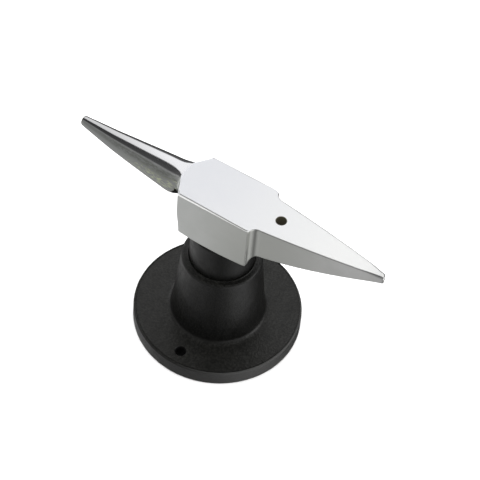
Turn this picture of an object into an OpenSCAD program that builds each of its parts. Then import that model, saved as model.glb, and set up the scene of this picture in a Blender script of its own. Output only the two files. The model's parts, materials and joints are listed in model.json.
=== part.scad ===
// Double-horn bench anvil: a plated steel head on a round neck, which stands in the
// socket of a cast-iron base and is clamped there by one bolt from below.
// Millimetres. +Z up, +X along the flat horn, origin at the centre of the base's underside.

/* [Base] */
// Diameter of the round flange
base_d = 63.5; // [60:0.5:70]
// Thickness of the flange at its edge
flange_t = 6.3; // [5:0.1:8]
// Diameter of the hub where it meets the flange
hub_foot_d = 35.2; // [33:0.1:38]
// Diameter of the hub at its top
hub_top_d = 30; // [29:0.1:32]
// Height of the hub's top above the bench
hub_top_z = 37.4; // [34:0.1:40]
// Diameter of the two bench screw holes
screw_hole_d = 4; // [3:0.1:5]
// Distance between the two bench screw holes
screw_spacing = 51.6; // [48:0.1:54]

/* [Neck] */
// Diameter of the neck
neck_d = 24.4; // [22:0.1:26]
// Depth of the socket that holds the neck
socket_depth = 10; // [8:0.5:12]
// Radial clearance between the neck and its socket
socket_clearance = 0.05; // [0.02:0.01:0.1]

/* [Head] */
// Height of the working face above the bench
face_z = 73.2; // [70:0.1:76]
// Depth of the body below the working face
body_h = 20; // [18:0.1:21]
// Width of the body
body_w = 22.4; // [20:0.1:24]
// X of the corners where the body narrows to the round horn
shoulder_x = -13.6; // [-15:0.1:-12]
// X of the corners where the body steps in to the flat horn
step_x = 15.2; // [14:0.1:16]

/* [Round horn] */
// X of the round horn's tip
round_tip_x = -62; // [-64:0.1:-58]
// Radius of the round horn at its thick end
round_root_r = 7; // [6:0.1:7.5]
// Radius of the round horn at its tip
round_tip_r = 1.8; // [1.5:0.1:2.5]

/* [Flat horn] */
// X of the flat horn's tip
flat_tip_x = 64.3; // [60:0.1:67]
// Width of the flat horn at its root
flat_root_w = 16.4; // [14:0.1:17]
// Width of the flat horn at its tip
flat_tip_w = 2.4; // [2:0.1:4]
// Depth of the flat horn at its root
flat_root_h = 14.7; // [12:0.1:15]
// Depth of the flat horn at its tip
flat_tip_h = 3.3; // [2:0.1:4]
// Diameter of the hole through the flat horn
punch_hole_d = 3.9; // [3:0.1:5]
// X of the hole through the flat horn
punch_hole_x = 22.2; // [21:0.1:26]

/* [Clamp bolt] */
// Nominal thread diameter
bolt_d = 8; // [8:1:8]
// Thread pitch
bolt_pitch = 1.25; // [1:0.25:1.5]
// Length under the head
bolt_l = 45; // [42:1:48]

/* [Hidden] */
$fn = 96;
eps = 0.01;

// Base
base_r = base_d / 2;
hub_foot_r = hub_foot_d / 2;
hub_top_r = hub_top_d / 2;
rim_round = 0.9;
underside_ease = 0.4;
foot_fillet = 1.8;
hub_round = 1.4;
socket_chamfer = 0.7;
socket_floor_z = hub_top_z - socket_depth;
socket_r = neck_d / 2 + socket_clearance;
web_t = 5.4;
web_z = socket_floor_z - web_t;
cavity_mouth_r = 13.5;
cavity_top_r = 11.5;
screw_chamfer = 0.4;

// Neck and the joint between it and the head
head_seat_z = face_z - body_h;
neck_r = neck_d / 2;
neck_chamfer = 0.6;
spigot_r = 7;
spigot_h = 2.5;
spigot_clearance = 0.05;
spigot_gap = 0.3;

// Head
side_arc_n = 8;
side_bow = 0.45;
underside_bow = 1;
step_fillet_r = 3;
underside_fillet_r = 4.8;
shoulder_drop = 4;
shoulder_nose_w = 7;
lower_corner = 4;
thread_hole_depth = 14.5;

// Round horn, measured along its own axis from the shoulder's nose
round_overlap = 0.4;
round_start_x = shoulder_x - shoulder_drop + round_overlap;
root_waist_r = 5.2;
root_curl = 3;
root_sink = 4;
tip_round = 0.6;
round_below_face = 0.05;
round_len = round_start_x - round_tip_x;
round_tilt = atan((round_root_r - round_tip_r) / (round_len - root_curl - tip_round));
round_rise = round_root_r * cos(round_tilt) + root_curl * sin(round_tilt);

// Clamp bolt and washers
bolt_r = bolt_d / 2;
bolt_clear_r = 4.2;
thread_depth = 0.61 * bolt_pitch;
thread_start = 23;
thread_gap = 0.04;
hex_af = 13;
hex_h = 5.3;
hex_corner_r = 8.1;
hex_chamfer_h = 1;
flat_washer_t = 1.6;
flat_washer_r = 8;
spring_washer_t = 2;
spring_washer_r = 7.4;
spring_washer_slit = 1.2;
spring_washer_slant = 25;
bolt_seat_z = web_z - flat_washer_t - spring_washer_t;
bolt_tip_z = bolt_seat_z + bolt_l;

// Points of a shallow arc from a to b that bows out by sag to the left of a-b.
function bow(a, b, sag, n) =
    let (
        chord = b - a,
        left = [-chord.y, chord.x] / norm(chord)
    )
    [for (i = [0:n]) a + chord * (i / n) + left * (4 * sag * (i / n) * (1 - i / n))];

// Points of a circular arc about c.
function arc(c, r, a0, a1, n) =
    [for (i = [0:n]) let (t = a0 + (a1 - a0) * i / n) c + r * [cos(t), sin(t)]];

// Radius and height pairs of a thread with ridges as rings, from z0 up to z1.
function thread(r, depth, pitch, z0, z1) =
    let (turns = floor((z1 - z0) / pitch))
    concat(
        [for (i = [0:turns - 1]) each [
            [r - depth, z0 + i * pitch],
            [r, z0 + (i + 0.4) * pitch],
            [r, z0 + (i + 0.6) * pitch]
        ]],
        [[r - depth, z0 + turns * pitch]]
    );

// Flange and hub as one turned outline, hollow underneath.
module base_outline() {
    fillet_c = [hub_foot_r + foot_fillet, flange_t + foot_fillet];
    rim_c = [base_r - rim_round, flange_t - rim_round];
    hub_c = [hub_top_r - hub_round, hub_top_z - hub_round];
    polygon(concat(
        [
            [bolt_clear_r, web_z],
            [cavity_top_r, web_z],
            [cavity_mouth_r, 0],
            [base_r - underside_ease, 0],
            [base_r, underside_ease]
        ],
        arc(rim_c, rim_round, 0, 90, 6),
        arc(fillet_c, foot_fillet, 270, 184, 6),
        arc(hub_c, hub_round, 5, 90, 6),
        [
            [socket_r + socket_chamfer, hub_top_z],
            [socket_r, hub_top_z - socket_chamfer],
            [socket_r, socket_floor_z],
            [bolt_clear_r, socket_floor_z]
        ]
    ));
}

module screw_hole() {
    translate([0, 0, -1]) cylinder(d = screw_hole_d, h = flange_t + 2);
    translate([0, 0, flange_t - screw_chamfer])
        cylinder(r1 = screw_hole_d / 2, r2 = screw_hole_d / 2 + screw_chamfer + 1, h = screw_chamfer + 1);
}

module base() {
    color([0.05, 0.05, 0.05])
    difference() {
        rotate_extrude() base_outline();
        for (side = [-1, 1])
            translate([0, side * screw_spacing / 2, 0]) screw_hole();
    }
}

// Turned post between the base and the head.
module neck() {
    seat_r = spigot_r + spigot_clearance;
    seat_z = head_seat_z - spigot_h - spigot_gap;
    color([0.05, 0.05, 0.05])
    rotate_extrude() polygon([
        [bolt_clear_r, socket_floor_z],
        [neck_r - neck_chamfer, socket_floor_z],
        [neck_r, socket_floor_z + neck_chamfer],
        [neck_r, head_seat_z - neck_chamfer],
        [neck_r - neck_chamfer, head_seat_z],
        [seat_r, head_seat_z],
        [seat_r, seat_z],
        [bolt_clear_r, seat_z]
    ]);
}

// Outline of the body and the flat horn seen from above.
module head_plan() {
    horn_side = bow(
        [flat_tip_x, flat_tip_w / 2],
        [step_x + step_fillet_r, flat_root_w / 2],
        -side_bow,
        side_arc_n
    );
    body_side = [
        [step_x, body_w / 2],
        [shoulder_x, body_w / 2],
        [shoulder_x - shoulder_drop, shoulder_nose_w / 2]
    ];
    upper = concat(horn_side, [[step_x, flat_root_w / 2]], body_side);
    mirrored = [for (i = [len(upper) - 1:-1:0]) [upper[i].x, -upper[i].y]];
    polygon(concat(upper, mirrored));
}

// The concave corners where the body steps in to the flat horn.
module step_corner() {
    difference() {
        square([step_fillet_r, step_fillet_r]);
        translate([step_fillet_r, step_fillet_r]) circle(r = step_fillet_r);
    }
}

module head_plan_with_corners() {
    intersection() {
        union() {
            head_plan();
            for (side = [0, 1])
                mirror([0, side, 0])
                    translate([step_x, flat_root_w / 2]) step_corner();
        }
        translate([round_tip_x, -body_w / 2]) square([flat_tip_x - round_tip_x, body_w]);
    }
}

// Outline of the body and the flat horn seen from the side, X to the right and Z up.
module head_profile() {
    end_x = shoulder_x - shoulder_drop;
    notch_c = [step_x + underside_fillet_r, face_z - flat_root_h - underside_fillet_r];
    underside = bow(
        [notch_c.x, face_z - flat_root_h],
        [flat_tip_x, face_z - flat_tip_h],
        -underside_bow,
        side_arc_n
    );
    polygon(concat(
        arc([end_x + lower_corner, head_seat_z + lower_corner], lower_corner, 180, 270, 6),
        [[step_x, head_seat_z]],
        arc(notch_c, underside_fillet_r, 180, 90, 6),
        underside,
        [[flat_tip_x, face_z], [end_x, face_z]]
    ));
}

// Round horn: a cone laid so that its top line is level with the face, curled in at its root.
module round_horn() {
    translate([round_start_x, 0, face_z - round_below_face - round_rise])
        rotate([0, -90 + round_tilt, 0])
            rotate_extrude() polygon(concat(
                [[0, -root_sink], [root_waist_r, -root_sink], [root_waist_r, 0]],
                arc([round_root_r - root_curl, root_curl], root_curl, -66, 0, 5),
                [
                    [round_tip_r, round_len - tip_round],
                    [round_tip_r - tip_round, round_len],
                    [0, round_len]
                ]
            ));
}

module head_blank() {
    intersection() {
        translate([0, 0, head_seat_z - 1]) linear_extrude(body_h + 2) head_plan_with_corners();
        rotate([90, 0, 0])
            translate([0, 0, -body_w]) linear_extrude(2 * body_w) head_profile();
    }
}

// Tapped hole in the head's underside, with its ridges as rings.
module tapped_hole() {
    z0 = head_seat_z - spigot_h;
    z1 = head_seat_z + thread_hole_depth - spigot_h;
    r = bolt_r + thread_gap;
    turns = ceil((z1 - z0) / bolt_pitch);
    phase = bolt_tip_z - ceil((bolt_tip_z - z0) / bolt_pitch) * bolt_pitch;
    rotate_extrude() intersection() {
        polygon(concat(
            [[0, phase]],
            thread(r, thread_depth, bolt_pitch, phase, phase + (turns + 1) * bolt_pitch),
            [[0, phase + (turns + 1) * bolt_pitch]]
        ));
        translate([0, z0 - 1]) square([bolt_d, z1 - z0 + 1]);
    }
}

module head() {
    color([0.78, 0.79, 0.8])
    difference() {
        union() {
            head_blank();
            round_horn();
            translate([0, 0, head_seat_z - spigot_h])
                cylinder(r = spigot_r, h = spigot_h + 1);
        }
        translate([punch_hole_x, 0, head_seat_z - 1])
            cylinder(d = punch_hole_d, h = body_h + 2);
        tapped_hole();
    }
}

module clamp_bolt() {
    thread_z = bolt_tip_z - floor((bolt_l - thread_start) / bolt_pitch) * bolt_pitch;
    color([0.55, 0.55, 0.56]) {
        translate([0, 0, bolt_seat_z - hex_h])
            intersection() {
                cylinder(d = hex_af / cos(30), h = hex_h, $fn = 6);
                union() {
                    cylinder(r1 = hex_af / 2, r2 = hex_corner_r, h = hex_chamfer_h);
                    translate([0, 0, hex_chamfer_h]) cylinder(r = hex_corner_r, h = hex_h - hex_chamfer_h);
                }
            }
        rotate_extrude() polygon(concat(
            [[0, bolt_seat_z - eps], [bolt_r, bolt_seat_z - eps], [bolt_r, thread_z - thread_depth]],
            thread(bolt_r, thread_depth, bolt_pitch, thread_z, bolt_tip_z),
            [[0, bolt_tip_z]]
        ));
    }
}

module washer(z, t, outer_r) {
    translate([0, 0, z]) difference() {
        cylinder(r = outer_r, h = t);
        translate([0, 0, -1]) cylinder(r = bolt_clear_r, h = t + 2);
    }
}

module spring_washer() {
    color([0.5, 0.5, 0.5]) difference() {
        washer(bolt_seat_z, spring_washer_t, spring_washer_r);
        translate([spring_washer_r / 2 + 1, 0, bolt_seat_z + spring_washer_t / 2])
            rotate([spring_washer_slant, 0, 0])
                cube([spring_washer_r + 2, spring_washer_slit, spring_washer_t * 2], center = true);
    }
}

module flat_washer() {
    color([0.6, 0.6, 0.62])
    washer(bolt_seat_z + spring_washer_t, flat_washer_t, flat_washer_r);
}

base();
neck();
head();
clamp_bolt();
spring_washer();
flat_washer();
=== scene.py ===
import json
import math

import bmesh
import bpy
import numpy as np
from mathutils import Matrix, Vector, noise


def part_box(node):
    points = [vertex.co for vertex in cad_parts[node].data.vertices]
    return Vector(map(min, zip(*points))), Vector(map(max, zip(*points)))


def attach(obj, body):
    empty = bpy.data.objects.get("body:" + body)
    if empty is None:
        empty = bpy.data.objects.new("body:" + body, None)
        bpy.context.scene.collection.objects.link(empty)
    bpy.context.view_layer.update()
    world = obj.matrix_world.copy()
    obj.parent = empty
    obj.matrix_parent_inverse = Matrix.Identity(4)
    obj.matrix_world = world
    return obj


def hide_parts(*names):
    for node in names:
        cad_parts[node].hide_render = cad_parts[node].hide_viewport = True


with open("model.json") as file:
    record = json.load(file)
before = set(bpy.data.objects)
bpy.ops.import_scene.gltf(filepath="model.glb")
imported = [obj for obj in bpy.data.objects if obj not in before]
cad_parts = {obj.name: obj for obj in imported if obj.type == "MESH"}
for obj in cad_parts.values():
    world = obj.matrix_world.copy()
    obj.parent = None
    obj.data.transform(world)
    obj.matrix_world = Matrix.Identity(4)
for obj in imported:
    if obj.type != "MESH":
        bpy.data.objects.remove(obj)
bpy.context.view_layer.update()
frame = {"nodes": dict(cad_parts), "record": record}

MM = 0.001
WELD = 0.003 * MM
SHARP_ANGLE = math.radians(35)
HEAD_LOW, HEAD_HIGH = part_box("head")
BASE_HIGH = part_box("base")[1]
NECK_LOW, NECK_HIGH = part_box("neck")
WASHER_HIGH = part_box("flat_washer")[1]
MOUNTS = {mount["name"]: mount for mount in frame["record"]["mounts"]}

# Head: the face, the seat on the neck, and the outline from the round horn's tip to the flat horn's.
FACE_Z = HEAD_HIGH.z
SEAT_Z = NECK_HIGH.z
ROUND_TIP_X = HEAD_LOW.x
FLAT_TIP_X = HEAD_HIGH.x
BODY_HALF_W = HEAD_HIGH.y
SHOULDER_X = -13.3 * MM
NOSE_X = -17.7 * MM
NOSE_HALF_W = 3.3 * MM
STEP_X = 15.15 * MM
NOTCH_R = 3 * MM
HORN_ROOT_HALF_W = 8.2 * MM
HORN_TIP_HALF_W = 1.2 * MM
HORN_BOW = 0.45 * MM
HORN_ROOT_DEPTH = 14.7 * MM
HORN_TIP_DEPTH = 3.3 * MM
UNDERSIDE_BOW = 1 * MM
UNDERSIDE_ROUND = 0.8 * MM
UNDERSIDE_NOTCH_R = 4.8 * MM
TIP_DROOP = 0.5 * MM
TIP_EASE = 0.7 * MM
TIP_EASE_DEPTH = 0.5 * MM
SIDE_FLARE = 0.75 * MM
NOSE_TUCK = 1.1 * MM
NOSE_FOOT_R = 4 * MM
NOSE_BLEND = 1.6 * MM
NOSE_BLEND_LENGTH = 5 * MM
FAR_CORNER_BLUNT = 0.5 * MM
TOP_EDGE_R = 0.3 * MM
HORN_EDGE_EXTRA_R = 0.1 * MM
TIP_EDGE_EXTRA_R = 0.5 * MM
# Width of the margin along the top edge: everywhere, more towards the round horn, more on the flat horn.
MARGIN_W = 0.45 * MM
MARGIN_EXTRA_W = 0.5 * MM
MARGIN_HORN_W = 0.3 * MM
# Where each adjustment of the skin comes in or fades out, as (start, end) along X unless it says otherwise.
FLARE_MIDDLE_X = 1 * MM
FLARE_HALF_LENGTH = 14.5 * MM
DROOP_LENGTH = 7 * MM
TUCK_FADE_LEFTWARD = (6 * MM, 12.5 * MM)
TUCK_NOSE_FADE = (-16.5 * MM, -14.5 * MM)
TUCK_DEPTHS = (8 * MM, 20 * MM)
WORN_START = (-14.6 * MM, -13.4 * MM)
WORN_END = (14 * MM, 15.2 * MM)
BEVEL_FADE_FROM_TIP = (1 * MM, 9 * MM)
BLUNT_LENGTH = 1.2 * MM
BLUNT_SIDE_Y = (7 * MM, 11 * MM)
CONE_LOWER_ANGLES = (math.radians(50), math.radians(105))
WORN_DROP = 0.3 * MM
CONE_ROOT_R = 7 * MM
CONE_TIP_R = 1.8 * MM
CONE_CURL = 6.2 * MM
CONE_WAIST_R = 3.7 * MM
CONE_BELOW_FACE = 0.04 * MM
CONE_BULGE = 0.25 * MM
TIP_ROUND = 0.6 * MM
ROOT_FLARE = 2.1 * MM
FLARE_FROM_X = -24 * MM
CREASE_W = 0.28 * MM
# How far each section leans from square, as ground by hand: X against its lean.
LEAN_AT = (-22 * MM, -17 * MM, -12 * MM, 0, 15 * MM, 58 * MM, 64 * MM)
LEAN = (0, 0.055, 0.055, 0.02, -0.02, -0.04, -0.28)
# How far the round horn's root sits off the middle: X against the shift towards +Y.
SHIFT_AT = (-48 * MM, -26 * MM, -18 * MM, -14 * MM)
SHIFT = (0, 0.8 * MM, 0.9 * MM, 0)
# Points of a half section, counted from its top middle, that the worn margin lowers.
WORN_FIRST = 5
WORN_LAST = 8
# Drop of the far edge's bevel at the points that follow, before it thins out towards the flat horn's tip.
FAR_BEVEL = {6: 0.16 * MM, 7: 0.2 * MM, 8: 0.24 * MM, 9: 0.28 * MM, 10: 0.31 * MM, 11: 0.33 * MM}
PUNCH = MOUNTS["punch_hole"]
PUNCH_X = PUNCH["pos_m"][0]
PUNCH_R = PUNCH["dims"]["r_mm"] * MM
PUNCH_RIM = 0.18 * MM

# Base
SCREWS = MOUNTS["bench_screws"]["dims"]
SCREW_R = SCREWS["hole_r_mm"] * MM
SCREW_Y = SCREWS["spacing_y_mm"] * MM / 2
# Far enough off the axis, in metres, that no bore, and no painted bore shade, falls on the part.
NO_BORES = 1.0
BASE_R = BASE_HIGH.x
FLANGE_T = 6.3 * MM
EDGE_LINE_W = 0.32 * MM
EDGE_LINE_DEPTH = 0.3 * MM
HUB_FOOT_R = 17.6 * MM
HUB_TOP_R = 15 * MM
NECK_R = NECK_HIGH.x
SOCKET_R = NECK_R + 0.05 * MM
SOCKET_Z = NECK_LOW.z
WEB_Z = WASHER_HIGH.z
BOLT_HOLE_R = 4.2 * MM
RECESS_R = 11.2 * MM
CUT_MARGIN = 1 * MM
# The casting's outer skin is uneven; inside CAST_KEEP_R it stays true.
CAST_SEED = 3.1
CAST_UNEVENNESS = 0.05 * MM
CAST_CELL = 5 * MM
CAST_KEEP_R = 14.2 * MM
SPIGOT_R = 7.05 * MM
SPIGOT_DEPTH = 2.8 * MM
POST_EASE = 0.5 * MM

# Camera
CAMERA_DISTANCE = 0.8255
CAMERA_AZIMUTH = 28.46
CAMERA_ELEVATION = 53.96
CAMERA_AIM = (0.00127, 0.01031, 0.036)
CAMERA_ROLL = 5.576
CAMERA_LENS_MM = 163.26
CAMERA_SENSOR_MM = 36

# Studio: angle from the front horizon, over the top, in degrees, against brightness.
STUDIO = (
    (-180, 0.07), (-128, 0.12), (-100, 0.40), (-60, 0.48), (-12, 0.42), (12, 0.34), (54, 0.32), (62, 0.06),
    (101, 0.04), (105, 0.86), (140, 0.93), (164, 0.90), (169, 0.08), (180, 0.07),
)
STUDIO_GAIN = 3
BACKDROP = 0.93
OVERHEAD_ENERGY = 4.8
OVERHEAD_SPREAD = 75
FLOOR_HALF_SIZE = 15.0
# The same studio from left (-1) to right (+1) against a gain on that brightness.
STUDIO_SIDES = (
    (-1, 1.6), (-0.62, 1.4), (-0.48, 1.0), (-0.3, 1.03), (-0.05, 0.86), (0.1, 0.7), (0.2, 0.36), (0.34, 0.3),
    (0.44, 0.62), (0.6, 0.85), (0.8, 2.8), (1, 3.0),
)


# ---------------------------------------------------------------- outlines and meshes
def arc(centre, radius, start, end, count):
    """Points of a circular arc, angles in degrees."""
    angles = np.radians(np.linspace(start, end, count + 1))
    return [(centre[0] + radius * math.cos(a), centre[1] + radius * math.sin(a)) for a in angles]


def rounded(before, corner, after, radius, count):
    """The arc that rounds one corner of an outline."""
    corner = np.array(corner, float)
    u = np.array(before, float) - corner
    v = np.array(after, float) - corner
    u /= np.linalg.norm(u)
    v /= np.linalg.norm(v)
    half = math.acos(np.clip(u @ v, -1, 1)) / 2
    bisector = (u + v) / np.linalg.norm(u + v)
    centre = corner + bisector * radius / math.sin(half)
    first = corner + u * radius / math.tan(half) - centre
    last = corner + v * radius / math.tan(half) - centre
    sweep = math.atan2(first[0] * last[1] - first[1] * last[0], first @ last)
    points = []
    for i in range(count + 1):
        t = sweep * i / count
        c, s = math.cos(t), math.sin(t)
        points.append((centre[0] + c * first[0] - s * first[1], centre[1] + s * first[0] + c * first[1]))
    return points


def bowed(start, end, sag, count):
    """Points from start to end on a shallow arc that rises sag above the straight line."""
    points = []
    for i in range(count + 1):
        t = i / count
        x = start[0] + (end[0] - start[0]) * t
        y = start[1] + (end[1] - start[1]) * t
        points.append((x, y + 4 * sag * t * (1 - t)))
    return points


def mesh_object(name, verts, faces):
    """A smooth-shaded mesh object whose creases over SHARP_ANGLE stay sharp."""
    mesh = bpy.data.meshes.new(name)
    mesh.from_pydata([tuple(v) for v in verts], [], faces)
    mesh.update()
    mesh.polygons.foreach_set("use_smooth", [True] * len(mesh.polygons))
    mesh.set_sharp_from_angle(angle=SHARP_ANGLE)
    obj = bpy.data.objects.new(name, mesh)
    bpy.context.collection.objects.link(obj)
    return obj


def face_outwards(obj):
    """Makes every face of a closed mesh point outwards."""
    bm = bmesh.new()
    bm.from_mesh(obj.data)
    bmesh.ops.recalc_face_normals(bm, faces=bm.faces)
    bm.to_mesh(obj.data)
    bm.free()


def lathe(name, outline, segments, closed=True):
    """An outline of (radius, height) points turned about the Z axis. One that isn't closed starts and
    ends on the axis."""
    rings = []
    verts = []
    for radius, height in outline:
        if radius < 1e-9:
            rings.append([len(verts)] * segments)
            verts.append((0, 0, height))
            continue
        rings.append(list(range(len(verts), len(verts) + segments)))
        for k in range(segments):
            a = 2 * math.pi * k / segments
            verts.append((radius * math.cos(a), radius * math.sin(a), height))
    faces = []
    count = len(outline)
    for i in range(count if closed else count - 1):
        low, high = rings[i], rings[(i + 1) % count]
        for k in range(segments):
            n = (k + 1) % segments
            corners = []
            for v in (low[k], low[n], high[n], high[k]):
                if v not in corners:
                    corners.append(v)
            if len(corners) > 2:
                faces.append(corners)
    obj = mesh_object(name, verts, faces)
    face_outwards(obj)
    return obj


def cut(obj, tools):
    """Subtracts each tool in turn, deletes it, and welds the very short edges that this leaves."""
    for tool in tools:
        modifier = obj.modifiers.new("cut", "BOOLEAN")
        modifier.operation = "DIFFERENCE"
        modifier.solver = "EXACT"
        modifier.object = tool
        apply_modifiers(obj)
        bpy.data.objects.remove(tool)
    bm = bmesh.new()
    bm.from_mesh(obj.data)
    bmesh.ops.remove_doubles(bm, verts=bm.verts, dist=WELD)
    bm.to_mesh(obj.data)
    bm.free()


def apply_modifiers(obj):
    """Bakes the object's modifiers into its mesh."""
    graph = bpy.context.evaluated_depsgraph_get()
    mesh = bpy.data.meshes.new_from_object(obj.evaluated_get(graph), depsgraph=graph)
    obj.modifiers.clear()
    old = obj.data
    obj.data = mesh
    bpy.data.meshes.remove(old)


def even_normals(obj):
    """Keeps big flat faces flat next to small rounded edges."""
    obj.data.set_sharp_from_angle(angle=SHARP_ANGLE)
    modifier = obj.modifiers.new("even_normals", "WEIGHTED_NORMAL")
    modifier.mode = "FACE_AREA"
    modifier.weight = 50
    modifier.keep_sharp = True


# ---------------------------------------------------------------- head
def plan_outline():
    """(x, half width) of the body and the flat horn, from the nose to the tip."""
    nose = (NOSE_X, NOSE_HALF_W)
    shoulder = (SHOULDER_X, BODY_HALF_W)
    step = (STEP_X, BODY_HALF_W)
    notch_centre = (STEP_X + NOTCH_R, HORN_ROOT_HALF_W + NOTCH_R)
    notch = arc(notch_centre, NOTCH_R, 194, 264, 14)
    root = (notch_centre[0] + 0.3 * MM, HORN_ROOT_HALF_W)
    points = [nose]
    points += rounded(nose, shoulder, step, 0.8 * MM, 6)
    points += rounded(shoulder, step, notch[0], 0.35 * MM, 6)
    points += notch[1:]
    points += bowed(root, (FLAT_TIP_X, HORN_TIP_HALF_W), HORN_BOW, 36)
    return points


def profile_outline():
    """(x, height) of the underside of the body and the flat horn, from the nose to the tip."""
    notch_centre = (STEP_X + UNDERSIDE_NOTCH_R + 0.2 * MM, FACE_Z - HORN_ROOT_DEPTH - UNDERSIDE_NOTCH_R)
    notch = arc(notch_centre, UNDERSIDE_NOTCH_R, 176, 100, 14)
    step = (STEP_X + 0.1 * MM, SEAT_Z)
    points = arc((NOSE_X + NOSE_FOOT_R, SEAT_Z + NOSE_FOOT_R), NOSE_FOOT_R, 180, 270, 8)
    points += rounded((0, SEAT_Z), step, notch[0], 1.1 * MM, 6)
    points += notch[1:]
    start = (notch_centre[0] + 0.6 * MM, FACE_Z - HORN_ROOT_DEPTH)
    points += bowed(start, (FLAT_TIP_X, FACE_Z - HORN_TIP_DEPTH), -UNDERSIDE_BOW, 36)
    return points


def smooth_step(x, low, high):
    """Eases from 0 at low to 1 at high."""
    t = np.clip((x - low) / (high - low), 0, 1)
    return t * t * (3 - 2 * t)


def half_section(half_w, top, bottom, top_round, strip, flare):
    """Half of a rounded rectangle, (y, z) from the top's middle round to the bottom's middle. The points at
    strip from the edge leave room for a worn margin, and the foot of the side stands out by flare."""
    top_round = min(top_round, half_w * 0.6)
    strip = max(min(strip, half_w * 0.75), top_round * 1.1)
    bottom_round = min(UNDERSIDE_ROUND, half_w * 0.8, (top - bottom) * 0.4)
    crease = half_w - strip
    points = [(t * (crease - CREASE_W), top) for t in (0, 0.35, 0.7, 0.9, 1)]
    points.append((crease, top))
    points += arc((half_w - top_round, top - top_round), top_round, 90, 0, 5)
    side_top, side_bottom = top - top_round, bottom + bottom_round
    for t in (0.05, 0.14, 0.26, 0.4, 0.55, 0.7, 0.83, 0.94):
        points.append((half_w + flare * smooth_step(t, 0, 1), side_top + (side_bottom - side_top) * t))
    foot_w = half_w + flare
    points += arc((foot_w - bottom_round, bottom + bottom_round), bottom_round, 0, -90, 6)
    for t in (0.9, 0.75, 0.5, 0.25, 0):
        points.append((t * (foot_w - bottom_round), bottom))
    return np.array(points)


def cone_radius(x):
    """Radius of the round horn at x, before its ends are rounded."""
    length = NOSE_X - ROUND_TIP_X
    t = (x - ROUND_TIP_X) / length
    return CONE_TIP_R + (CONE_ROOT_R - CONE_TIP_R) * t + 4 * CONE_BULGE * t * (1 - t)


def cone_reach(x, angles):
    """Distance of the round horn's skin from its axis at x, at angles measured from straight up. The lower
    half turns in at the root; the upper half runs straight into the body."""
    radius = cone_radius(min(x, NOSE_X))
    t = np.clip((x - (NOSE_X - CONE_CURL)) / CONE_CURL, 0, 1)
    curl = (cone_radius(NOSE_X) - CONE_WAIST_R) * (1 - math.sqrt(max(0, 1 - t * t)))
    tip = (x - ROUND_TIP_X) / TIP_ROUND
    if tip < 1:
        radius -= TIP_ROUND * (1 - math.sqrt(max(0, 1 - (1 - tip) ** 2)))
    flare = ROOT_FLARE * max(0, (x - FLARE_FROM_X) / (SHOULDER_X - FLARE_FROM_X)) ** 2
    lower = smooth_step(np.abs(angles), *CONE_LOWER_ANGLES)
    return radius - curl * lower + flare * (1 - lower)


def cone_axis_z(x):
    """Height of the round horn's axis at x; its top line follows the face."""
    return FACE_Z - CONE_BELOW_FACE - cone_radius(min(x, NOSE_X))


def horn_section(x, angles):
    """(y, z) of the round horn at x, at angles measured from straight up."""
    reach = cone_reach(x, angles)
    z = np.minimum(cone_axis_z(x) + reach * np.cos(angles), FACE_Z)
    return np.stack([reach * np.sin(angles), z], 1)


def merged_section(x, section):
    """The body's section at x, blended with the round horn that runs into it."""
    centre = cone_axis_z(x)
    y, z = section[:, 0], section[:, 1] - centre
    angle = np.arctan2(y, z)
    reach = np.hypot(y, z)
    fade = smooth_step(x, SHOULDER_X - 2 * MM, SHOULDER_X + NOSE_BLEND_LENGTH)
    radius = cone_reach(x, angle) - 1.5 * MM * fade
    blend = NOSE_BLEND * (1 - fade) + 1e-6
    h = np.clip(0.5 + 0.5 * (reach - radius) / blend, 0, 1)
    joined = radius + (reach - radius) * h + blend * h * (1 - h)
    z = np.minimum(centre + joined * np.cos(angle), FACE_Z)
    return np.stack([joined * np.sin(angle), z], 1), angle


def head_stations(plan, profile):
    """X of every section of the body and the flat horn."""
    xs = [p[0] for p in plan] + [p[0] for p in profile]
    xs += list(np.linspace(NOSE_X, SHOULDER_X, 9)) + list(np.linspace(SHOULDER_X, STEP_X, 30))
    xs += list(np.linspace(STEP_X + 5 * MM, FLAT_TIP_X, 46))
    xs += list(FLAT_TIP_X - TIP_EASE * (1 - np.sin(np.radians(np.linspace(0, 90, 6)))))
    kept = []
    for x in sorted(xs):
        if not kept or x - kept[-1] > 0.04 * MM:
            kept.append(x)
    return kept


def round_horn_stations():
    """X of every section of the round horn, from its tip to the body's nose."""
    tip = ROUND_TIP_X + TIP_ROUND * (1 - np.cos(np.radians(np.linspace(0, 90, 7))))
    middle = np.linspace(ROUND_TIP_X + 1.6 * MM, NOSE_X - CONE_CURL, 44)
    root = NOSE_X - CONE_CURL * (1 - np.sin(np.radians(np.linspace(9, 87, 10))))
    return list(tip) + list(middle) + list(root)


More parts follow.
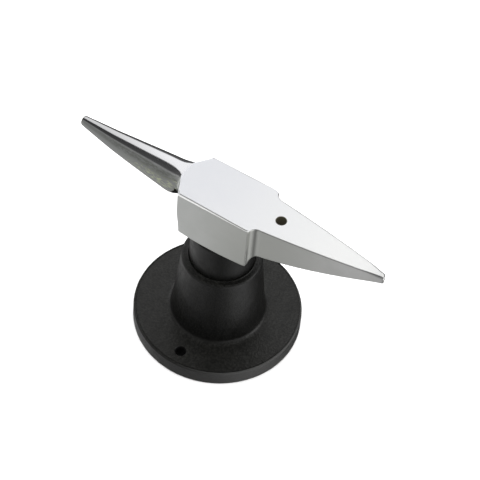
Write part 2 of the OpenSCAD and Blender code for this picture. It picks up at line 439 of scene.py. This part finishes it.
def head_skin():
    """The head as one skin of sections across X, closed at both tips."""
    plan, profile = plan_outline(), profile_outline()
    plan_x, plan_w = zip(*plan)
    profile_x, profile_z = zip(*profile)
    body = []
    for x in head_stations(plan, profile):
        half_w = float(np.interp(x, plan_x, plan_w))
        bottom = float(np.interp(x, profile_x, profile_z))
        end = np.clip((x - FLAT_TIP_X) / TIP_EASE + 1, 0, 1)
        ease = TIP_EASE_DEPTH * (1 - math.sqrt(1 - end * end))
        horn_round = HORN_EDGE_EXTRA_R * smooth_step(x, 14 * MM, 20 * MM)
        tip_round = TIP_EDGE_EXTRA_R * smooth_step(x, 55 * MM, FLAT_TIP_X)
        top_round = TOP_EDGE_R + horn_round + tip_round
        strip = MARGIN_W + MARGIN_EXTRA_W * (1 - smooth_step(x, -14 * MM, 14 * MM))
        strip += MARGIN_HORN_W * smooth_step(x, 15 * MM, 19 * MM)
        flare = SIDE_FLARE * max(0, 1 - ((x - FLARE_MIDDLE_X) / FLARE_HALF_LENGTH) ** 2)
        section = half_section(half_w - ease, FACE_Z - ease, bottom + ease, top_round, strip, flare)
        body.append((x, section))
    joined = []
    for x, section in body:
        if x < SHOULDER_X + NOSE_BLEND_LENGTH:
            section, angle = merged_section(x, section)
            if not joined:
                nose_angles = angle
        joined.append((x, section))
    even = np.linspace(0, math.pi, len(nose_angles))
    horn = []
    for x in round_horn_stations():
        mix = smooth_step(x, NOSE_X - 9 * MM, NOSE_X)
        horn.append((x, horn_section(x, nose_angles * mix + even * (1 - mix))))
    return skin_from_sections("anvil_head", horn + joined)


def skin_from_sections(name, sections):
    """Joins half sections, mirrored about Y, into a closed skin."""
    verts, faces = [], []
    ring = 2 * (len(sections[0][1]) - 1)
    for x, half in sections:
        mirrored = [(-y, z) for y, z in half[-2:0:-1]]
        lean = float(np.interp(x, LEAN_AT, LEAN))
        droop = TIP_DROOP * max(0, (x - FLAT_TIP_X) / DROOP_LENGTH + 1) ** 2
        tuck = NOSE_TUCK * smooth_step(-x, *TUCK_FADE_LEFTWARD) * smooth_step(x, *TUCK_NOSE_FADE)
        worn = WORN_DROP * smooth_step(x, *WORN_START) * (1 - smooth_step(x, *WORN_END))
        shift = float(np.interp(x, SHIFT_AT, SHIFT))
        thin = 0.3 + 0.7 * float(smooth_step(FLAT_TIP_X - x, *BEVEL_FADE_FROM_TIP))
        blunt = FAR_CORNER_BLUNT * math.exp(-((x - STEP_X) / BLUNT_LENGTH) ** 2)
        for k, (y, z) in enumerate(list(half) + mirrored):
            depth = FACE_Z - z
            y += shift - blunt * smooth_step(y, *BLUNT_SIDE_Y)
            if ring - WORN_LAST <= k <= ring - WORN_FIRST:
                z -= worn
            if x > SHOULDER_X:
                z -= FAR_BEVEL.get(k, 0) * thin
            z -= droop * (1 - depth / (FACE_Z - SEAT_Z))
            verts.append((x + lean * y + tuck * smooth_step(depth, *TUCK_DEPTHS), y, z))
    for i in range(len(sections) - 1):
        for k in range(ring):
            n = (k + 1) % ring
            faces.append((i * ring + k, i * ring + n, (i + 1) * ring + n, (i + 1) * ring + k))
    first, last = 0, (len(sections) - 1) * ring
    for start, x in ((first, sections[0][0]), (last, sections[-1][0])):
        middle = len(verts)
        loop = np.array(verts[start:start + ring])
        verts.append((x, 0, float(loop[:, 2].mean())))
        for k in range(ring):
            faces.append((start + k, start + (k + 1) % ring, middle))
    obj = mesh_object(name, verts, faces)
    face_outwards(obj)
    return obj


def punch_cutter():
    """The hole through the flat horn, with its eased top rim."""
    outline = [
        (0, SEAT_Z),
        (PUNCH_R, SEAT_Z),
        (PUNCH_R, FACE_Z - PUNCH_RIM),
        (PUNCH_R + PUNCH_RIM * 0.35, FACE_Z - PUNCH_RIM * 0.35),
        (PUNCH_R + PUNCH_RIM + 0.2 * MM, FACE_Z + 0.2 * MM),
        (0, FACE_Z + 0.2 * MM),
    ]
    tool = lathe("punch_cutter", outline, 64, closed=False)
    tool.data.transform(Matrix.Translation((PUNCH_X, 0, 0)))
    return tool


def build_head():
    """The head with its punch hole."""
    head = head_skin()
    cut(head, [punch_cutter()])
    even_normals(head)
    return head


# ---------------------------------------------------------------- base and neck
def base_outline():
    """(radius, height) of the casting, counter-clockwise from the web's lower edge."""
    rim, foot, top = 0.7 * MM, 1.8 * MM, 1.1 * MM
    outline = [
        (BOLT_HOLE_R, WEB_Z),
        (RECESS_R, WEB_Z),
        (11.55 * MM, WEB_Z - 0.4 * MM),
        (13.4 * MM, 0.3 * MM),
        (13.8 * MM, 0),
        (BASE_R - 0.4 * MM, 0),
        (BASE_R, 0.4 * MM),
        (BASE_R, 2 * MM),
        (BASE_R, 4 * MM),
    ]
    outline += arc((BASE_R - rim, FLANGE_T - rim), rim, 0, 90, 8)
    flat_r = BASE_R - rim - EDGE_LINE_W
    outline += [
        (flat_r + 0.72 * EDGE_LINE_W, FLANGE_T - EDGE_LINE_DEPTH),
        (flat_r + 0.28 * EDGE_LINE_W, FLANGE_T - EDGE_LINE_DEPTH),
    ]
    for t in np.linspace(0, 1, 26)[:-1]:
        outline.append((flat_r + (HUB_FOOT_R + foot - flat_r) * t, FLANGE_T))
    outline += arc((HUB_FOOT_R + foot, FLANGE_T + foot), foot, 270, 184, 8)
    hub_low = outline[-1]
    hub_round = arc((HUB_TOP_R - top, BASE_HIGH.z - top), top, 4, 90, 8)
    for t in np.linspace(0, 1, 22)[1:-1]:
        outline.append((
            hub_low[0] + (hub_round[0][0] - hub_low[0]) * t,
            hub_low[1] + (hub_round[0][1] - hub_low[1]) * t,
        ))
    outline += hub_round
    outline += [
        (SOCKET_R + 0.75 * MM, BASE_HIGH.z),
        (SOCKET_R + 0.6 * MM, BASE_HIGH.z + 0.03 * MM),
        (SOCKET_R + 0.42 * MM, BASE_HIGH.z + 0.2 * MM),
        (SOCKET_R + 0.2 * MM, BASE_HIGH.z + 0.22 * MM),
        (SOCKET_R + 0.04 * MM, BASE_HIGH.z + 0.08 * MM),
        (SOCKET_R, BASE_HIGH.z - 0.3 * MM),
        (SOCKET_R, SOCKET_Z),
        (BOLT_HOLE_R, SOCKET_Z),
    ]
    return outline


def screw_cutter(side):
    """One bench screw hole with its eased rim."""
    outline = [
        (0, -CUT_MARGIN),
        (SCREW_R, -CUT_MARGIN),
        (SCREW_R, FLANGE_T - 0.4 * MM),
        (SCREW_R + 0.15 * MM, FLANGE_T - 0.15 * MM),
        (SCREW_R + 1.4 * MM, FLANGE_T + CUT_MARGIN),
        (0, FLANGE_T + CUT_MARGIN),
    ]
    tool = lathe("screw_cutter", outline, 48, closed=False)
    tool.data.transform(Matrix.Translation((0, side * SCREW_Y, 0)))
    return tool


def roughen(obj, seed, amount, cell, keep_radius):
    """Cast unevenness: moves the outer surface by a little smooth noise along its normal."""
    bm = bmesh.new()
    bm.from_mesh(obj.data)
    bm.normal_update()
    offset = Vector((seed, seed * 1.7, seed * 0.3))
    for v in bm.verts:
        radius = math.hypot(v.co.x, v.co.y)
        if radius < keep_radius or v.co.z < 0.5 * MM:
            continue
        value = noise.fractal(v.co / cell + offset, 0.9, 2.1, 3)
        v.co += v.normal * amount * value
    bm.to_mesh(obj.data)
    bm.free()


def build_base():
    """The casting with its screw holes."""
    base = lathe("base_casting", base_outline(), 256)
    roughen(base, CAST_SEED, CAST_UNEVENNESS, CAST_CELL, CAST_KEEP_R)
    cut(base, [screw_cutter(side) for side in (-1, 1)])
    even_normals(base)
    return base


def build_neck():
    """The turned post, with eased ends and a socket for the head's spigot."""
    spigot_z = SEAT_Z - SPIGOT_DEPTH
    ease = POST_EASE
    outline = [(BOLT_HOLE_R, NECK_LOW.z)]
    outline += arc((NECK_R - ease, NECK_LOW.z + ease), ease, 270, 360, 5)
    for t in np.linspace(0, 1, 16)[1:-1]:
        z = NECK_LOW.z + ease + (NECK_HIGH.z - NECK_LOW.z - 2 * ease) * t
        outline.append((NECK_R, z))
    outline += arc((NECK_R - ease, NECK_HIGH.z - ease), ease, 0, 90, 5)
    outline += [(SPIGOT_R, SEAT_Z), (SPIGOT_R, spigot_z), (BOLT_HOLE_R, spigot_z)]
    neck = lathe("neck_post", outline, 192)
    even_normals(neck)
    return neck


# ---------------------------------------------------------------- materials
class Nodes:
    """A short way to write a node tree."""

    def __init__(self, name):
        self.material = bpy.data.materials.new(name)
        self.material.use_nodes = True
        self.tree = self.material.node_tree
        self.shader = self.tree.nodes["Principled BSDF"]

    def add(self, kind, inputs=None, **settings):
        node = self.tree.nodes.new(kind)
        for key, value in settings.items():
            setattr(node, key, value)
        for key, value in (inputs or {}).items():
            self.put(node.inputs[key], value)
        return node

    def put(self, socket, value):
        if hasattr(value, "outputs"):
            value = value.outputs[0]
        if hasattr(value, "is_output"):
            self.tree.links.new(value, socket)
        else:
            socket.default_value = value

    def set(self, **inputs):
        for key, value in inputs.items():
            self.put(self.shader.inputs[key.replace("_", " ")], value)

    def math(self, operation, a, b=0.0):
        return self.add("ShaderNodeMath", {0: a, 1: b}, operation=operation)

    def vector_length(self, a, b):
        joined = self.add("ShaderNodeCombineXYZ", {0: a, 1: b})
        return self.add("ShaderNodeVectorMath", {0: joined}, operation="LENGTH").outputs["Value"]

    def ramp(self, value, low, high, out_low=0.0, out_high=1.0):
        node = self.add("ShaderNodeMapRange", {0: value, 1: low, 2: high, 3: out_low, 4: out_high})
        node.interpolation_type = "SMOOTHSTEP"
        return node

    def noise(self, where, scale, detail=3.0, roughness=0.5):
        inputs = {"Vector": where, "Scale": scale, "Detail": detail, "Roughness": roughness}
        return self.add("ShaderNodeTexNoise", inputs)

    def stretched(self, where, scale, turn=(0, 0, 0)):
        return self.add("ShaderNodeMapping", {"Vector": where, "Scale": scale, "Rotation": turn})

    def mix(self, factor, a, b):
        node = self.add("ShaderNodeMix", data_type="RGBA")
        self.put(node.inputs[0], factor)
        self.put(node.inputs[6], a)
        self.put(node.inputs[7], b)
        return node.outputs[2]

    def bump(self, height, strength, distance, normal=None):
        inputs = {"Height": height, "Strength": strength, "Distance": distance}
        if normal is not None:
            inputs["Normal"] = normal
        return self.add("ShaderNodeBump", inputs)


def plated_steel():
    """Nickel-plated steel: satin on the face, polished on the round horn, with painted light and shade in
    its colour.
    """
    m = Nodes("plated_steel")
    place = m.add("ShaderNodeTexCoord")
    where = place.outputs["Object"]
    x, y = m.add("ShaderNodeSeparateXYZ", {0: where}).outputs[:2]
    normal = m.add("ShaderNodeSeparateXYZ", {0: place.outputs["Normal"]}).outputs
    on_face = m.ramp(normal[2], 0.90, 0.985)
    on_horn = m.ramp(x, -17.0 * MM, -18.6 * MM)
    cloud = m.noise(where, 90.0, 3.0, 0.6)
    grind = m.noise(m.stretched(where, (90, 2600, 900), (0, 0, math.radians(35))), 1.0, 4.0, 0.6)
    # Face: painted reflection, darker and cooler towards the round horn and brighter along the flat horn,
    # over a random cloudy tone.
    face_light_and_tone = m.mix(m.ramp(x, -20 * MM, 55 * MM), (0.74, 0.75, 0.785, 1), (0.895, 0.90, 0.89, 1))
    face_light_and_tone = m.mix(m.ramp(cloud, 0.3, 0.7, 0, 0.2), face_light_and_tone, (0.82, 0.825, 0.83, 1))
    # The near side's margin strip along the worn edge is painted brighter as a highlight.
    near_margin_highlight = m.math("MULTIPLY", m.ramp(y, -10.2 * MM, -10.5 * MM), m.ramp(x, 15.4 * MM, 14.8 * MM))
    face_light_and_tone = m.mix(near_margin_highlight, face_light_and_tone, (0.87, 0.87, 0.865, 1))
    # Sides: painted reflection and shade, lighter at the left, darkest in the notch as painted shade,
    # lighter again towards the flat horn's tip, over a random cloudy tone.
    side_light_and_tone = m.mix(m.ramp(x, -12 * MM, 16 * MM), (0.85, 0.865, 0.845, 1), (0.70, 0.71, 0.675, 1))
    side_light_and_tone = m.mix(m.ramp(x, 22 * MM, 58 * MM), side_light_and_tone, (0.97, 0.97, 0.96, 1))
    side_light_and_tone = m.mix(m.ramp(cloud, 0.35, 0.65, 0, 0.22), side_light_and_tone, (0.64, 0.665, 0.625, 1))
    body_tone = m.mix(on_face, side_light_and_tone, face_light_and_tone)
    # Round horn: a painted highlight on top, dimmer towards the tip; painted shade below, speckled with real
    # greenish oxide; streaky painted dark reflection bands on its flanks.
    streaks = m.noise(m.stretched(where, (0.35, 1, 1)), 1300.0, 4.0, 0.7)
    oxide = m.math("MULTIPLY", m.ramp(streaks, 0.45, 0.62), m.ramp(x, -46 * MM, -26 * MM))
    oxide = m.math("MULTIPLY", oxide, m.ramp(normal[2], -0.35, 0.1))
    underside_shade_and_oxide = m.mix(oxide, (0.44, 0.45, 0.44, 1), (0.66, 0.70, 0.52, 1))
    # Streaky dark bands on the horn's flanks, painted as reflection.
    dark_band_reflection = m.math("MULTIPLY", m.ramp(streaks, 0.40, 0.56), m.ramp(normal[2], 0.25, 0.65))
    dark_band_reflection = m.math("MULTIPLY", dark_band_reflection, m.ramp(x, -62 * MM, -40 * MM))
    underside_shade_and_oxide = m.mix(dark_band_reflection, underside_shade_and_oxide, (0.33, 0.34, 0.32, 1))
    # Painted highlight on the horn's upper side, dimmer towards the tip, against the painted shade of its
    # lower side.
    upper_highlight = m.mix(m.ramp(x, -58 * MM, -19 * MM), (0.66, 0.66, 0.67, 1), (0.93, 0.93, 0.95, 1))
    horn_light_and_tone = m.mix(m.ramp(normal[2], 0.72, 0.9), underside_shade_and_oxide, upper_highlight)
    # The round horn's tip is painted dark as shade.
    horn_light_and_tone = m.mix(m.ramp(x, -60.8 * MM, -61.5 * MM), horn_light_and_tone, (0.30, 0.30, 0.29, 1))
    tone = m.mix(on_horn, body_tone, horn_light_and_tone)
    # The punch hole's wall is painted dark and made less metallic as shade.
    bore = m.vector_length(m.math("SUBTRACT", x, PUNCH_X), y)
    bore_shade = m.ramp(bore, PUNCH_R * 1.1, PUNCH_R * 1.02)
    tone = m.mix(bore_shade, tone, (0.13, 0.12, 0.085, 1))
    satin = m.math("MULTIPLY", on_face, m.math("SUBTRACT", 1.0, on_horn))
    plated = m.math("SUBTRACT", m.ramp(satin, 0, 1, 1.0, 0.86), m.math("MULTIPLY", bore_shade, 0.8))
    m.set(Base_Color=tone, Metallic=plated)
    rough = m.add("ShaderNodeMix", {0: on_horn, 2: 0.29, 3: 0.13}).outputs[0]
    uneven = m.math("MULTIPLY", m.math("SUBTRACT", streaks, 0.5), m.math("MULTIPLY", on_horn, 0.2))
    rough = m.math("ADD", rough, uneven)
    m.set(Roughness=rough)
    near_tip = m.ramp(x, 35 * MM, 62 * MM, 0.02, 0.12)
    fine = m.bump(grind, near_tip, 0.02 * MM)
    m.set(Normal=m.bump(m.noise(where, 240.0, 2.0), 0.08, 0.1 * MM, fine))
    return m.material


def black_paint(name, grain, tone, bores):
    """Semi-gloss black paint over metal, with the skin's grain showing through. The bores at +-bores on the
    Y axis are painted near-black and rough as shade, and the outer rim towards +X is painted lighter as
    light."""
    m = Nodes(name)
    place = m.add("ShaderNodeTexCoord")
    where = place.outputs["Object"]
    x, y = m.add("ShaderNodeSeparateXYZ", {0: where}).outputs[:2]
    upward = m.ramp(m.add("ShaderNodeSeparateXYZ", {0: place.outputs["Normal"]}).outputs[2], 0.5, 0.98)
    cloud = m.noise(where, 120.0, 4.0, 0.6)
    light = tuple(t * 2.6 for t in tone)
    pits = m.noise(where, 1300.0, 4.0, 0.65)
    speckle = m.math("MULTIPLY", m.ramp(cloud, 0.3, 0.6, 0.5, 1), m.ramp(pits, 0.44, 0.60))
    body = m.mix(m.math("MULTIPLY", speckle, upward), (*tone, 1), (*light, 1))
    # The outer rim towards +X is painted lighter as light falling on it.
    lit_rim = m.math("MULTIPLY", m.ramp(m.vector_length(x, y), BASE_R - 1.1 * MM, BASE_R - 0.3 * MM),
                  m.ramp(x, -2 * MM, 26 * MM))
    body = m.mix(lit_rim, body, (0.035, 0.035, 0.034, 1))
    # The screw bores are painted near-black and made rough as shade.
    bore = m.vector_length(x, m.math("SUBTRACT", m.math("ABSOLUTE", y), bores))
    bore_shade = m.ramp(bore, SCREW_R * 1.12, SCREW_R * 1.03)
    m.set(Base_Color=m.mix(bore_shade, body, (0.001, 0.001, 0.001, 1)))
    rough = m.ramp(m.noise(where, 400.0, 4.0), 0.3, 0.7, 0.32, 0.44)
    m.set(Roughness=m.add("ShaderNodeMix", {0: bore_shade, 2: rough, 3: 0.95}).outputs[0])
    m.set(IOR=1.41)
    fine = m.bump(pits, m.ramp(upward, 0, 1, grain * 0.5, grain), 0.15 * MM)
    m.set(Normal=m.bump(m.noise(where, 320.0, 2.0), grain * 0.5, 0.15 * MM, fine))
    return m.material


def fastener_metal(name, tone, roughness):
    """Small plated hardware with faint turning marks."""
    m = Nodes(name)
    where = m.add("ShaderNodeTexCoord").outputs["Object"]
    cloud = m.noise(where, 500.0, 3.0)
    dark = tuple(t * 0.75 for t in tone)
    m.set(Base_Color=m.mix(cloud, (*dark, 1), (*tone, 1)), Metallic=1.0)
    m.set(Roughness=m.ramp(cloud, 0.3, 0.7, roughness, roughness + 0.15))
    marks = m.noise(m.stretched(where, (900, 900, 5000)), 1.0, 3.0)
    m.set(Normal=m.bump(marks, 0.15, 0.03 * MM))
    return m.material


def dress(obj, material):
    """Gives the object one material."""
    obj.data.materials.clear()
    obj.data.materials.append(material)


# ---------------------------------------------------------------- stage
def add_camera():
    camera = bpy.data.objects.new("camera", bpy.data.cameras.new("camera"))
    bpy.context.collection.objects.link(camera)
    camera.data.lens = CAMERA_LENS_MM
    camera.data.sensor_width = CAMERA_SENSOR_MM
    camera.data.clip_start = 0.01
    azimuth, elevation = math.radians(CAMERA_AZIMUTH), math.radians(CAMERA_ELEVATION)
    place = CAMERA_DISTANCE * Vector((
        math.sin(azimuth) * math.cos(elevation),
        -math.cos(azimuth) * math.cos(elevation),
        math.sin(elevation),
    ))
    turn = (Vector(CAMERA_AIM) - place).to_track_quat("-Z", "Y").to_matrix().to_4x4()
    roll = Matrix.Rotation(math.radians(CAMERA_ROLL), 4, "Z")
    camera.matrix_world = Matrix.Translation(place) @ turn @ roll
    bpy.context.scene.camera = camera


def add_floor():
    """A plain pale floor that the metal doesn't mirror."""
    size = FLOOR_HALF_SIZE
    corners = [(-size, -size, 0), (size, -size, 0), (size, size, 0), (-size, size, 0)]
    floor = mesh_object("floor", corners, [(0, 1, 2, 3)])
    m = Nodes("floor_paint")
    where = m.add("ShaderNodeTexCoord").outputs["Object"]
    cloud = m.noise(where, 6.0, 2.0)
    m.set(Base_Color=m.mix(cloud, (0.93, 0.93, 0.93, 1), (0.95, 0.95, 0.95, 1)), Roughness=0.9)
    dress(floor, m.material)
    floor.visible_glossy = False


def add_overhead():
    """Broad even light from above. It isn't seen in the metal, which mirrors the studio instead."""
    data = bpy.data.lights.new("overhead", "SUN")
    data.energy = OVERHEAD_ENERGY
    data.angle = math.radians(OVERHEAD_SPREAD)
    light = bpy.data.objects.new("overhead", data)
    light.visible_glossy = False
    light.visible_camera = False
    bpy.context.collection.objects.link(light)


def brightness_ramp(tree, value, low, high, stops, scale):
    """Brightness read off stops, each a place between low and high against a level up to scale."""
    remap = tree.nodes.new("ShaderNodeMapRange")
    remap.inputs[1].default_value = low
    remap.inputs[2].default_value = high
    tree.links.new(value, remap.inputs[0])
    ramp = tree.nodes.new("ShaderNodeValToRGB")
    tree.links.new(remap.outputs[0], ramp.inputs[0])
    elements = ramp.color_ramp.elements
    while len(elements) < len(stops):
        elements.new(0.5)
    for element, (place, level) in zip(elements, stops):
        element.position = (place - low) / (high - low)
        element.color = (level / scale, level / scale, level / scale, 1)
    return ramp.outputs[0]


def math_node(tree, operation, first, second):
    """The output of one arithmetic node; either side may be a number."""
    node = tree.nodes.new("ShaderNodeMath")
    node.operation = operation
    for socket, value in zip(node.inputs, (first, second)):
        if isinstance(value, (int, float)):
            socket.default_value = value
        else:
            tree.links.new(value, socket)
    return node.outputs[0]


def add_world():
    """A studio seen in the metal. Turning from the front horizon over the top to the back horizon and
    below: grey room, dark ceiling, one broad pale panel, dark corner, grey table. The camera sees a pale
    backdrop."""
    world = bpy.data.worlds.new("studio")
    bpy.context.scene.world = world
    world.use_nodes = True
    tree = world.node_tree
    background = tree.nodes["Background"]
    direction = tree.nodes.new("ShaderNodeTexCoord")
    split = tree.nodes.new("ShaderNodeSeparateXYZ")
    tree.links.new(direction.outputs["Generated"], split.inputs[0])
    x, y, z = split.outputs
    turn = math_node(tree, "ARCTAN2", z, math_node(tree, "MULTIPLY", y, -1))
    around = brightness_ramp(tree, turn, -math.pi, math.pi, [(math.radians(a), v) for a, v in STUDIO], 1)
    across = brightness_ramp(tree, x, -1, 1, STUDIO_SIDES, STUDIO_GAIN)
    room = math_node(tree, "MULTIPLY", math_node(tree, "MULTIPLY", around, across), STUDIO_GAIN)
    ray = tree.nodes.new("ShaderNodeLightPath")
    seen = tree.nodes.new("ShaderNodeMix")
    tree.links.new(ray.outputs["Is Camera Ray"], seen.inputs[0])
    tree.links.new(room, seen.inputs[2])
    seen.inputs[3].default_value = BACKDROP
    tree.links.new(seen.outputs[0], background.inputs[0])
    background.inputs[1].default_value = 1.0


# ---------------------------------------------------------------- assembly
add_camera()
add_world()
add_floor()
add_overhead()

bpy.context.scene.view_settings.view_transform = "Standard"

head = build_head()
dress(head, plated_steel())
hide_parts("head")
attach(head, "anvil")

base = build_base()
dress(base, black_paint("black_casting", 1.0, (0.0045, 0.0045, 0.0041), SCREW_Y))
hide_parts("base")
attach(base, "stand")

neck = build_neck()
dress(neck, black_paint("black_post", 0.15, (0.004, 0.004, 0.0036), NO_BORES))
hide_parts("neck")
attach(neck, "anvil")

dress(frame["nodes"]["clamp_bolt"], fastener_metal("zinc_bolt", (0.62, 0.63, 0.65), 0.3))
dress(frame["nodes"]["spring_washer"], fastener_metal("spring_steel", (0.3, 0.29, 0.28), 0.4))
dress(frame["nodes"]["flat_washer"], fastener_metal("zinc_washer", (0.6, 0.61, 0.63), 0.3))
